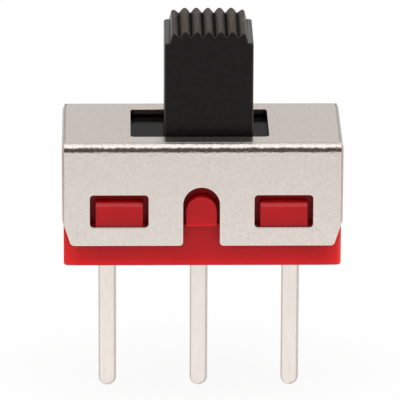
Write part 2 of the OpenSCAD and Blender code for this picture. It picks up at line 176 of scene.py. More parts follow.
class Solid:
    """A mesh in millimetres that is still being shaped. What shapes it gives it back."""

    def __init__(self, start: Callable | None = None, **settings: object) -> None:
        """Starts a mesh.

        Args:
            start: The operator that makes its first shape, or None to start with nothing.
            settings: The operator's settings.
        """
        self.bm = bmesh.new()
        if start is not None:
            start(self.bm, **settings)

    @classmethod
    def block(cls, first: Vector, second: Vector) -> Self:
        """A plain block between two opposite corners."""
        place = Matrix.Translation((first + second) / 2) @ Matrix.Diagonal((*map(abs, second - first), 1.0))
        return cls(bmesh.ops.create_cube, size=1.0, matrix=place)

    @classmethod
    def about(cls, middle: Vector, size: Vector) -> Self:
        """A plain block of a given size about a point."""
        return cls.block(middle - size / 2, middle + size / 2)

    @classmethod
    def prism(cls, corners: Iterable[Vector], run: Vector) -> Self:
        """A flat outline drawn out into a solid.

        Args:
            corners: The outline's corners in order.
            run: How far, and which way, it is drawn out.

        Returns:
            The solid.
        """
        made = cls()
        face = made.bm.faces.new([made.bm.verts.new(c) for c in corners])
        bmesh.ops.translate(made.bm, vec=run, verts=made.drawn_out([face]))
        return made.outwards()

    @classmethod
    def rod(cls, start: Vector, run: Vector, radius: float, sides: int) -> Self:
        """A round rod that starts at a place and runs from there."""
        place = Matrix.Translation(start + run / 2) @ run.to_track_quat("Z", "Y").to_matrix().to_4x4()
        return cls(bmesh.ops.create_cone, cap_ends=True, segments=sides, radius1=radius, radius2=radius,
                   depth=run.length, matrix=place)

    def drawn_out(self, faces: Iterable[bmesh.types.BMFace]) -> list[Vert]:
        """Doubles faces, joins them to their copies and gives the copies' vertices."""
        drawn = bmesh.ops.extrude_face_region(self.bm, geom=list(faces))["geom"]
        return [v for v in drawn if isinstance(v, Vert)]

    def split(self, place: Vector, **settings: bool) -> list[Edge]:
        """Cuts every face along the level plane through a place.

        Args:
            place: The place.
            settings: The cut's settings.

        Returns:
            The edges that lie on the plane.
        """
        whole = [*self.bm.verts, *self.bm.edges, *self.bm.faces]
        cut = bmesh.ops.bisect_plane(self.bm, geom=whole, plane_co=place, plane_no=Axis.Z.value, **settings)
        return [e for e in cut["geom_cut"] if isinstance(e, Edge)]

    def on_all(self, operator: Callable, **settings: object) -> Self:
        """Runs an operator on every vertex."""
        operator(self.bm, verts=self.bm.verts[:], **settings)
        return self

    def cleaned(self) -> Self:
        """Merges doubled vertices and joins faces that lie in one plane."""
        self.on_all(bmesh.ops.remove_doubles, dist=MERGE)
        return self.on_all(bmesh.ops.dissolve_limit, angle_limit=FLAT_UNDER, edges=self.bm.edges[:])

    def outwards(self) -> Self:
        """Turns every face outwards."""
        bmesh.ops.recalc_face_normals(self.bm, faces=self.bm.faces[:])
        return self

    def along(self, axis: Axis, wanted: Test = anywhere) -> list[Edge]:
        """The edges that run along an axis and whose middles pass a test."""
        straight = [e for e in self.bm.edges if abs(way_of(e).dot(axis.value)) > STRAIGHT]
        return [e for e in straight if wanted(middle_of(e))]

    def bevelled(self, corners: list[Edge] | list[Vert], arc: Arc, affect: str = "EDGES") -> Self:
        """Rounds edges, or the vertices of a sheet.

        Args:
            corners: The edges or vertices.
            arc: How they are rounded.
            affect: EDGES or VERTICES.

        Returns:
            This solid.
        """
        if corners:
            bmesh.ops.bevel(self.bm, geom=corners, affect=affect, offset=arc.radius, offset_type="OFFSET",
                            segments=arc.faces, profile=0.5, clamp_overlap=False, material=-1)
        return self

    def rounded(self, axis: Axis, arc: Arc, wanted: Test = anywhere) -> Self:
        """Rounds the edges that run along an axis and whose middles pass a test."""
        return self.bevelled(self.along(axis, wanted), arc)

    def softened(self, arc: Arc, wanted: Test = anywhere) -> Self:
        """Rounds the edges that stand out sharply and whose middles pass a test."""
        sharp = [e for e in self.cleaned().bm.edges if e.is_convex and e.calc_face_angle(0.0) > SMOOTH_UNDER]
        return self.bevelled([e for e in sharp if wanted(middle_of(e))], arc)

    def modified(self, kind: str, **settings: object) -> Self:
        """Puts the mesh through a modifier.

        Args:
            kind: The modifier's kind.
            settings: Its settings.

        Returns:
            This solid.
        """
        whole = self.shown("whole")
        step = whole.modifiers.new("step", kind)
        for name, value in settings.items():
            setattr(step, name, value)
        result = bpy.data.meshes.new_from_object(whole.evaluated_get(bpy.context.evaluated_depsgraph_get()))
        self.bm = bmesh.new()
        self.bm.from_mesh(result)
        for used in (whole.data, result):
            bpy.data.meshes.remove(used)
        return self

    def taking(self, join: Join, *others: "Solid") -> Self:
        """Adds or cuts away other solids, which are used up.

        Args:
            join: Whether the others are added or cut away.
            others: The other solids.

        Returns:
            This solid.
        """
        for other in others:
            tool = other.shown("tool")
            self.modified("BOOLEAN", operation=join.value, object=tool, solver="EXACT")
            bpy.data.meshes.remove(tool.data)
        return self

    def shown(self, name: str) -> bpy.types.Object:
        """Makes an object of the mesh as it is, and lets go of the mesh.

        Args:
            name: The object's name.

        Returns:
            The object.
        """
        mesh = bpy.data.meshes.new(name)
        self.bm.to_mesh(mesh)
        self.bm.free()
        made = bpy.data.objects.new(name, mesh)
        bpy.context.scene.collection.objects.link(made)
        bpy.context.view_layer.update()
        return made

    def piece(self, name: str) -> bpy.types.Object:
        """Makes the finished piece, in metres, shaded smoothly.

        Args:
            name: The piece's name.

        Returns:
            The piece's object.
        """
        self.on_all(bmesh.ops.remove_doubles, dist=MERGE).outwards()
        for face in self.bm.faces:
            face.smooth = True
        for edge in self.bm.edges:
            edge.smooth = not edge.is_manifold or edge.calc_face_angle(0.0) < SMOOTH_UNDER
        made = self.on_all(bmesh.ops.scale, vec=TO_METRES).shown(name)
        normals = made.modifiers.new("even_shading", "WEIGHTED_NORMAL")
        normals.weight, normals.keep_sharp = LARGE_FACES, True
        return made


# --------------------------------------------------------------------------------------------- finishes

Colour = tuple[float, float, float]
Range = tuple[float, float]
Socket = bpy.types.NodeSocket
Given = Socket | Colour | float
WHOLE = (0.0, 1.0)  # the whole range of a noise
USUAL = (0.3, 0.7)  # the part of it where most of a noise lies
ROUGHNESS_VARIES = 0.15  # by what share of itself a roughness goes up and down
FLECK = 1.5  # how much coarser the flecks of a metal are than its grain


class Nodes:
    """The shader nodes of a material or of the surroundings."""

    def __init__(self, owner: bpy.types.Material | bpy.types.World) -> None:
        """Starts without a node.

        Args:
            owner: The material or world that the nodes are in.
        """
        owner.use_nodes = True
        self.tree = owner.node_tree
        self.tree.nodes.clear()

    def add(self, kind: str, wanted: str, given: dict[str, Given] | None = None, **settings: str) -> Socket:
        """Adds a node.

        Args:
            kind: What kind of node it is.
            wanted: Which of its outputs is used.
            given: What its inputs get: a number, a colour or another node's output.
            settings: Its own settings.

        Returns:
            The output.
        """
        node = self.tree.nodes.new(f"ShaderNode{kind}")
        for name, value in settings.items():
            setattr(node, name, value)
        inputs = {socket.identifier: socket for socket in node.inputs}
        for name, value in (given or {}).items():
            if isinstance(value, Socket):
                self.tree.links.new(value, inputs[name])
            else:
                inputs[name].default_value = (*value, 1.0) if inputs[name].type == "RGBA" else value
        return next(socket for socket in node.outputs if socket.identifier == wanted)

    def ends_in(self, kind: str, surface: Socket) -> None:
        """Shows a shader on the surface of a material or of the world."""
        self.tree.links.new(surface, self.tree.nodes.new(f"ShaderNodeOutput{kind}").inputs["Surface"])

    def place(self) -> Socket:
        """Where a point of the object lies, in metres."""
        return self.add("TexCoord", "Object")

    def part(self, axis: Axis) -> Socket:
        """How far a point lies along an axis, in metres."""
        return self.add("SeparateXYZ", axis.name, {"Vector": self.place()})

    def noise(self, grain: float, detail: float = 2.0, stretch: Colour = (1.0, 1.0, 1.0)) -> Socket:
        """Soft noise from 0 to 1, its grain in millimetres and made longer by the stretch."""
        place = self.add("Mapping", "Vector", {"Vector": self.place(), "Scale": [1.0 / s for s in stretch]})
        return self.add("TexNoise", "Fac", {"Vector": place, "Scale": 1.0 / (grain * MM), "Detail": detail})

    def maths(self, operation: str, *values: Given) -> Socket:
        """The result of a sum, difference or the like."""
        return self.add("Math", "Value", dict(zip(("Value", "Value_001"), values)), operation=operation)

    def product(self, *values: Given) -> Socket:
        """The product of some values."""
        return reduce(lambda first, second: self.maths("MULTIPLY", first, second), values)

    def aside(self, axis: Axis, middle: float = 0.0) -> Socket:
        """How far a point lies on either side of a middle, in metres."""
        return self.maths("ABSOLUTE", self.maths("SUBTRACT", self.part(axis), middle * MM))

    def spread(
        self, source: Socket, low: float, high: float, within: Range = USUAL, shape: str = "LINEAR"
    ) -> Socket:
        """Stretches the part of a value's range that lies within two ends over a range from low to high."""
        ends = dict(zip(("From Min", "From Max", "To Min", "To Max"), (*within, low, high)))
        return self.add("MapRange", "Result", {"Value": source, **ends}, interpolation_type=shape)

    def beyond(self, source: Socket, line: float, soft: float) -> Socket:
        """A soft step from 0 to 1 where a length in metres passes a line in millimetres."""
        return self.spread(source, *WHOLE, ((line - soft / 2) * MM, (line + soft / 2) * MM))

    def mixed(self, share: Socket, first: Socket | Colour, second: Colour, blend: str = "MIX") -> Socket:
        """A colour on its way from the first to the second, or to the first multiplied by the second."""
        given = {"Factor_Float": share, "A_Color": first, "B_Color": second}
        return self.add("Mix", "Result_Color", given, data_type="RGBA", blend_type=blend)

    def raised(self, *layers: tuple[Socket, float]) -> Socket:
        """Raises the surface by noises, laid over each other.

        Args:
            layers: Each noise, with its height in millimetres.

        Returns:
            The raised surface's normal.
        """
        below = {}
        for height, depth in layers:
            given = {"Strength": 1.0, "Distance": depth * MM, "Height": height, **below}
            below = {"Normal": self.add("Bump", "Normal", given)}
        return below["Normal"]


def shade(colour: Colour, by: float) -> Colour:
    """A colour made lighter or darker."""
    return tuple(c * by for c in colour)


@dataclass(frozen=True)
class Tone:
    """A part of a surface that is lighter or darker: beyond a line, on both sides of a middle."""

    axis: Axis
    middle: float
    line: float
    soft: float
    by: Colour

    def over(self, nodes: Nodes, colour: Socket) -> Socket:
        """A colour with the tone laid over it."""
        where = nodes.beyond(nodes.aside(self.axis, self.middle), self.line, self.soft)
        return nodes.mixed(where, colour, self.by, "MULTIPLY")


@dataclass(frozen=True)
class Fold:
    """The strained plating on two folds that run along X, one on each side of the middle, with a painted dark
    band on each that deepens the dark card's reflection.
    """

    inner: float = 3.17
    low: float = 5.99
    soft: float = 0.1
    finer: float = 3.0  # than the sheet's waves
    depth: float = 0.03
    band: Range = (6.215, 6.4)
    band_soft: float = 0.05
    ragged: float = 0.08
    patch: float = 0.1
    patchy: Range = (0.72, 1.0)
    # painted shade: the colour multiplied into the band, a painted reflection of the dark card in front
    painted_dark_colour: Colour = (0.19, 0.155, 0.128)

    def outside(self, nodes: Nodes) -> Socket:
        """Where a point lies far enough from the middle to be on a fold."""
        return nodes.beyond(nodes.aside(Axis.Y), self.inner, self.soft)

    def strained(self, nodes: Nodes, noise: Socket) -> Socket:
        """The roughening's noise on the folds, and 0 elsewhere."""
        where = nodes.product(self.outside(nodes), nodes.beyond(nodes.part(Axis.Z), self.low, self.soft))
        return nodes.product(where, nodes.spread(noise, -0.5, 0.5, WHOLE))

    def painted_dark_band(self, nodes: Nodes, noise: Socket) -> Socket:
        """Where the dark reflection on each fold is painted into the plating.

        Args:
            nodes: The material's nodes.
            noise: What makes the band's borders ragged.

        Returns:
            Up to 1 in the band on each fold, and 0 elsewhere.
        """
        border = nodes.spread(noise, -self.ragged * MM, self.ragged * MM, WHOLE)
        height = nodes.maths("ADD", nodes.part(Axis.Z), border)
        low, high = (nodes.beyond(height, line, self.band_soft) for line in self.band)
        patchy = nodes.spread(nodes.noise(self.patch), *self.patchy)
        return nodes.product(nodes.maths("SUBTRACT", low, high), self.outside(nodes), patchy)


@dataclass(frozen=True)
class Finish:
    """What every finish has: its names, its colour and the grain of its surface."""

    name: str
    slot: str
    colour: Colour
    roughness: float

    def surfaced(self, nodes: Nodes, grain: Socket, given: dict[str, Given]) -> bpy.types.Material:
        """Ends a material in its main shader.

        Args:
            nodes: The material's nodes.
            grain: The noise that the roughness follows.
            given: The shader's other inputs.

        Returns:
            The material.
        """
        low, high = (self.roughness * (1 + way * ROUGHNESS_VARIES) for way in SIDES)
        given = {"Roughness": nodes.spread(grain, low, high), **given}
        nodes.ends_in("Material", nodes.add("BsdfPrincipled", "BSDF", given))
        return bpy.data.materials[self.name]


@dataclass(frozen=True)
class Metal(Finish):
    """A plated or bare metal with a mottled grain."""

    grain: float = 0.12
    grain_depth: float = 0.00025
    wave: float = 0.55
    wave_depth: float = 0.006
    mottle: float = 0.04
    speckle: float = 0.05
    scatter: float = 0.0
    fold: Fold | None = None
    stretch: Colour = (1.0, 1.0, 1.0)

    def material(self) -> bpy.types.Material:
        """Builds the finish's nodes.

        Returns:
            The material.
        """
        nodes = Nodes(bpy.data.materials.new(self.name))
        grain = nodes.noise(self.grain, detail=3, stretch=self.stretch)
        cloud = nodes.noise(self.wave, detail=4, stretch=self.stretch)
        fleck = nodes.noise(FLECK * self.grain, stretch=self.stretch)
        most = self.mottle + self.speckle
        mottled = nodes.spread(cloud, -self.mottle, self.mottle)
        flecked = nodes.spread(fleck, -self.speckle, self.speckle)
        share = nodes.spread(nodes.maths("ADD", mottled, flecked), *WHOLE, (-most, most))
        colour = nodes.mixed(share, shade(self.colour, 1 - most), shade(self.colour, 1 + most))
        layers = [(nodes.noise(self.wave, detail=1), self.wave_depth), (grain, self.grain_depth)]
        if self.fold is not None:
            noise = nodes.noise(self.wave / self.fold.finer, detail=3)
            layers.append((self.fold.strained(nodes, noise), self.fold.depth))
            # the folds' dark band is painted into the colour as a painted reflection
            colour = nodes.mixed(self.fold.painted_dark_band(nodes, noise), colour, self.fold.painted_dark_colour, "MULTIPLY")
        return self.surfaced(nodes, grain, {
            "Base Color": colour, "Metallic": 1.0 - self.scatter, "Normal": nodes.raised(*layers),
        })


@dataclass(frozen=True)
class Moulding(Finish):
    """A moulded plastic with a faint skin."""

    gloss: float = 0.2
    grain: float = 0.08
    grain_depth: float = 0.0006
    wave: float = 1.5
    wave_depth: float = 0.003
    mottle: float = 0.08
    tint: Colour = (1.0, 1.0, 1.0)
    glow: float = 0.0
    glow_reach: Colour = (0.6, 0.06, 0.04)
    tones: tuple[Tone, ...] = ()
    stretch: Colour = (1.0, 1.0, 1.0)

    def material(self) -> bpy.types.Material:
        """Builds the finish's nodes.

        Returns:
            The material.
        """
        nodes = Nodes(bpy.data.materials.new(self.name))
        cloud = nodes.spread(nodes.noise(self.wave, detail=3, stretch=self.stretch), *WHOLE)
        grain = nodes.noise(self.grain, detail=3)
        darker, lighter = shade(self.colour, 1 - self.mottle), shade(self.colour, 1 + self.mottle / 2)
        colour = nodes.mixed(cloud, darker, lighter)
        for tone in self.tones:
            colour = tone.over(nodes, colour)
        normal = nodes.raised((nodes.noise(self.wave, detail=1), self.wave_depth), (grain, self.grain_depth))
        return self.surfaced(nodes, grain, {
            "Base Color": colour, "Normal": normal,
            "Specular IOR Level": self.gloss, "Specular Tint": self.tint,
            "Subsurface Weight": self.glow, "Subsurface Radius": self.glow_reach, "Subsurface Scale": MM,
        })


PLATED_STEEL = Metal("sheet_plating", "plated_steel", (0.71, 0.652, 0.6), 0.24, mottle=0.022, scatter=0.06,
                     fold=Fold())
# bare cut edges, their colour darkened past bare steel as painted shade for the dark they reflect in the slot
SHEARED_STEEL_SHADED = Metal("sheared_edge_painted_shade", "plated_steel", (0.36, 0.325, 0.295), 0.34, wave=0.2)
# painted reflection: the end flaps' cut edges are tinted pink as if reflecting the red base beside them
FLAP_EDGE_RED_REFLECTION = Metal("flap_edge_red_reflection", "plated_steel", (0.62, 0.485, 0.455), 0.34, wave=0.2)
TINNED = Metal("terminal_tin", "tinned_terminal", (0.775, 0.72, 0.67), 0.34, grain=0.06, wave=0.2,
               wave_depth=0.002, mottle=0.02, speckle=0.03, stretch=(1.0, 1.0, 9.0))
# painted shade: the blades' side faces are painted darker, more broadly on the side towards +X
TINNED_SIDE_SHADED = Metal("terminal_side_painted_shade", "tinned_terminal", (0.54, 0.49, 0.45), 0.36, wave=0.2)
SILVERED = Metal("contact_silver", "silver_contact", (0.86, 0.83, 0.76), 0.25, wave=0.6)
SPRING_WIRE = Metal("drawn_wire", "spring_wire", (0.56, 0.57, 0.58), 0.3, grain=0.04, stretch=(3.0, 3.0, 1.0))
# painted light: the base is painted lighter and pinker towards its ends, standing in for side light and light
# glowing through them
PAINTED_GLOW_ENDS = Tone(Axis.X, middle=0.13, line=6.65, soft=0.9, by=(1.19, 2.5, 1.9))
# painted light: the outermost ends are painted lighter and pinker still
PAINTED_GLOW_END_TIPS = Tone(Axis.X, middle=0.0, line=7.0, soft=0.2, by=(1.12, 3.0, 2.4))
# painted shade: the lowest edge of the base is painted darker
PAINTED_FOOT_SHADE = Tone(Axis.Z, middle=10.0, line=9.92, soft=0.12, by=(0.25, 0.9, 0.9))
RED = Moulding("red_skin", "red_moulding", (0.55, 0.0085, 0.0125), 0.4, gloss=0.18, glow=0.8,
               glow_reach=(2.4, 0.2, 0.16), tones=(PAINTED_GLOW_ENDS, PAINTED_GLOW_END_TIPS, PAINTED_FOOT_SHADE))
# painted highlight: the slanted edges of the lugs and keys are lighter and glossier
RED_EDGE_HIGHLIGHT = Moulding("red_edge_painted_highlight", "red_moulding", (0.7, 0.035, 0.04), 0.36, gloss=0.36, glow=0.8,
                    glow_reach=(2.4, 0.2, 0.16))
BLACK = Moulding("black_skin", "black_moulding", (0.006, 0.0053, 0.0054), 0.3, gloss=0.18, wave=0.35,
                 mottle=0.5, tint=(1.0, 0.93, 0.9))
BLACK_SLIDE = Moulding("black_slide_face", "black_moulding", (0.002, 0.0018, 0.0018), 0.14, gloss=0.03,
                       grain_depth=0.0015, tint=(1.0, 0.95, 0.93))
# painted light: the ridges' crests are painted many times lighter
PAINTED_CREST_LIGHT = Tone(Axis.Z, middle=0.0, line=11.94, soft=0.07, by=(26.0, 23.0, 19.5))
# painted shade in the grooves: the ridges' faces are darker than the rest of the grip, with painted light on
# the crests
BLACK_RIDGE_LIT_SHADED = Moulding("black_ridge_painted_light_and_shade", "black_moulding", (0.0027, 0.0023, 0.0022), 0.4, gloss=0.1, wave=0.05,
                       mottle=0.65, tones=(PAINTED_CREST_LIGHT,), stretch=(1.0, 14.0, 1.0))
# painted highlight: the grip's rounded rims, shoulders and upright edges are lighter and glossier
BLACK_RIM_HIGHLIGHT = Moulding("black_rim_painted_highlight", "black_moulding", (0.018, 0.015, 0.013), 0.22, gloss=0.42, mottle=0.3)
WHITE = Moulding("white_skin", "white_moulding", (0.80, 0.79, 0.75), 0.4, gloss=0.5, mottle=0.03)
POTTING = Moulding("resin_skin", "potting", (0.22, 0.02, 0.012), 0.16, gloss=0.5, wave=2.4, wave_depth=0.02)


def settle(
    solid: Solid, name: str, body: Body, node: str, finishes: tuple[Finish, ...],
    finish_of: Callable[[Vector, Vector], int] = lambda middle, normal: 0,
) -> bpy.types.Object:
    """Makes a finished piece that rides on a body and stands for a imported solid, and reports it.

    Args:
        solid: The piece's shape.
        name: The piece's name.
        body: The body that it rides on.
        node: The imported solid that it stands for.
        finishes: What it is finished in, the main finish first.
        finish_of: Which of them a face has, from its middle and the way that it faces.

    Returns:
        The piece's object.
    """
    piece = solid.piece(name)
    for finish in finishes:
        piece.data.materials.append(bpy.data.materials.get(finish.name) or finish.material())
    for face in piece.data.polygons:
        face.material_index = finish_of(face.center / MM, face.normal)
    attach(piece, body.value)
    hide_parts(node)
    LOG.info("%s: %d faces, on %s", piece.name, len(piece.data.polygons), body.value)
    return piece


# ----------------------------------------------------------------------------------------------- pieces


@dataclass
class SteelFrame:
    """The folded sheet that closes the housing: a top, two long walls and two end flaps."""

    sheet: float = 0.33
    long_bend: Arc = Arc(0.5, 16)
    end_bend: Arc = Arc(0.38, 16)
    wall_inset: float = 0.115
    wall_foot: float = 1.18
    flap_foot: float = 2.07
    flap_lean: float = 0.1
    flap_lean_height: float = 0.3
    flap_gap: float = 0.05
    flap_corner: Arc = Arc(0.3, 8)
    taper: Vector = extent(0.34, z=1.07)
    taper_corner: Arc = Arc(0.16, 8)
    window: Vector = extent(2.95, z=1.71)
    window_foot: float = 2.18
    window_corner: Arc = Arc(0.18, 8)
    notch_width: float = 1.84
    notch_top: float = 4.3
    notch_arc: Arc = Arc.full(notch_width, 16)
    notch_flare: Arc = Arc(0.2, 8)
    slot: Vector = extent(6.97, 4.33)
    slot_corner: Arc = Arc(0.2, 8)
    rim: Arc = Arc(0.05)
    plated: float = 0.6  # how squarely a face of the sheet's outside faces outwards

    def __post_init__(self) -> None:
        """Reads the frame's box."""
        self.box = Box.of("frame")
        self.flap_half = self.box.high.y - self.sheet - self.flap_gap

    def channel(self, box: Box, axis: Axis, bend: Arc) -> Solid:
        """A sheet folded into a channel, open below, that runs along an axis.

        Args:
            box: The channel's outside.
            axis: The axis that it runs along.
            bend: The outside of its two bends.

        Returns:
            The channel, as a sheet with no thickness.
        """
        made = Solid.block(box.low, box.high)
        spare = [f for f in made.bm.faces if f.normal.z < -MOSTLY or abs(f.normal.dot(axis.value)) > MOSTLY]
        bmesh.ops.delete(made.bm, geom=spare, context="FACES")
        return made.rounded(axis, bend, lambda m: m.z > box.high.z - MERGE)

    def thickened(self, sheet: Solid) -> Solid:
        """Gives a sheet its thickness, inwards from its outer face."""
        sheet.outwards().modified("SOLIDIFY", thickness=self.sheet, offset=-1.0, use_even_offset=True)
        return sheet.outwards()

    def walls(self) -> Solid:
        """The top with the front and back walls, their windows, notches and leaning ends.

        Returns:
            The folded sheet.
        """
        inset = at(self.wall_inset)
        box = Box(at(self.box.low.x, self.box.low.y, self.wall_foot) + inset, self.box.high - inset)
        sheet = self.thickened(self.channel(box, Axis.X, self.long_bend))
        return sheet.taking(Join.CUT, *self.wall_tools(box))

    def wall_tools(self, box: Box) -> Iterable[Solid]:
        """What is cut from the walls.

        Args:
            box: The outside of the walls.

        Yields:
            The tools.
        """
        through = at(y=box.size.y + 2 * PAST)
        top, low = self.wall_foot + self.taper.z, self.wall_foot - PAST
        for side, end in zip(SIDES, (box.low.x, box.high.x)):
            near, far = end - side * self.taper.x, end + side * PAST
            outline = [(near, self.wall_foot), (end, top), (far, top), (far, low), (near, low)]
            yield Solid.prism([at(x, box.low.y - PAST, z) for x, z in outline], through)
            middle = at(OPENINGS_X + side * OPENINGS_PITCH / 2, 0, self.window_foot + self.window.z / 2)
            yield Solid.about(middle, self.window + through).rounded(Axis.Y, self.window_corner)
            bent, half = end - side * (self.end_bend.radius - self.wall_inset), self.flap_half
            yield Solid.block(at(bent, -half, box.high.z - PAST), at(far, half, box.high.z + PAST))
        middle = at(OPENINGS_X, 0, (low + self.notch_top) / 2)
        notch = Solid.about(middle, at(self.notch_width, 0, self.notch_top - low) + through)
        yield notch.rounded(Axis.Y, self.notch_arc, lambda m: m.z > middle.z)

    def ends(self) -> Solid:
        """The top with the two end flaps, whose feet lean in.

        Returns:
            The folded sheet.
        """
        foot = at(self.box.low.x, -self.flap_half, self.flap_foot)
        top = at(self.box.high.x, self.flap_half, self.box.high.z)
        sheet = self.channel(Box(foot, top), Axis.Y, self.end_bend)
        corners = [v for v in sheet.bm.verts if v.co.z < self.flap_foot + MERGE]
        sheet.bevelled(corners, self.flap_corner, affect="VERTICES")
        level = self.flap_foot + self.flap_lean_height
        sheet.split(at(z=level))
        made = self.thickened(sheet)
        for vert in made.bm.verts:
            aside = vert.co.x - self.box.middle.x
            below = (level - vert.co.z) / self.flap_lean_height
            if below > 0 and abs(aside) > self.box.size.x / 2 - MERGE:
                vert.co.x -= math.copysign(self.flap_lean * below, aside)
        return made

    def build(self) -> None:
        """Builds the frame."""
        whole = self.walls().cleaned()
        for arc, at_notch in ((self.taper_corner, False), (self.notch_flare, True)):
            whole.rounded(Axis.Y, arc, lambda m: abs(m.z - self.wall_foot) < MERGE
                          and (abs(m.x - OPENINGS_X) < self.notch_width) == at_notch)
        slot = Solid.about(at(z=self.box.high.z), self.slot + at(z=2 * PAST))
        slot.rounded(Axis.Z, self.slot_corner)
        whole.taking(Join.ADD, self.ends()).taking(Join.CUT, slot).softened(self.rim, self.clear)
        finishes = (PLATED_STEEL, SHEARED_STEEL_SHADED, FLAP_EDGE_RED_REFLECTION)
        settle(whole, "steel_frame", Body.HOUSING, "frame", finishes, self.finish_of)

    def clear(self, middle: Vector) -> bool:
        """Says whether an edge is away from the folded corners, which are left as they are.

        Args:
            middle: The edge's middle.

        Returns:
            Whether it is.
        """
        aside, rim = middle - self.box.middle, self.rim.radius
        high = middle.z > self.box.high.z - self.long_bend.radius - rim
        at_end = abs(aside.x) > self.box.size.x / 2 - self.end_bend.radius - rim
        return not (high and at_end and abs(aside.y) > self.flap_half - rim)

    def finish_of(self, middle: Vector, normal: Vector) -> int:
        """Which of its finishes a face has.

        Args:
            middle: The face's middle.
            normal: The way that it faces.

        Returns:
            0 for the plating, 1 for a cut edge, partly darkened by painted shade, and 2 for a cut edge of an
            end flap, tinted by a painted reflection of the red base.
        """
        ahead = abs(middle.y - self.box.middle.y)
        if middle.z < self.box.high.z - self.long_bend.radius:
            if ahead > self.flap_half + MERGE:
                return int(abs(normal.y) < self.plated)
            return 2 * int(abs(normal.x) < self.plated)
        in_slot = abs(middle.x) < self.slot.x and ahead < self.slot.y / 2 + self.rim.radius
        return int(in_slot and abs(normal.z) < MOSTLY)


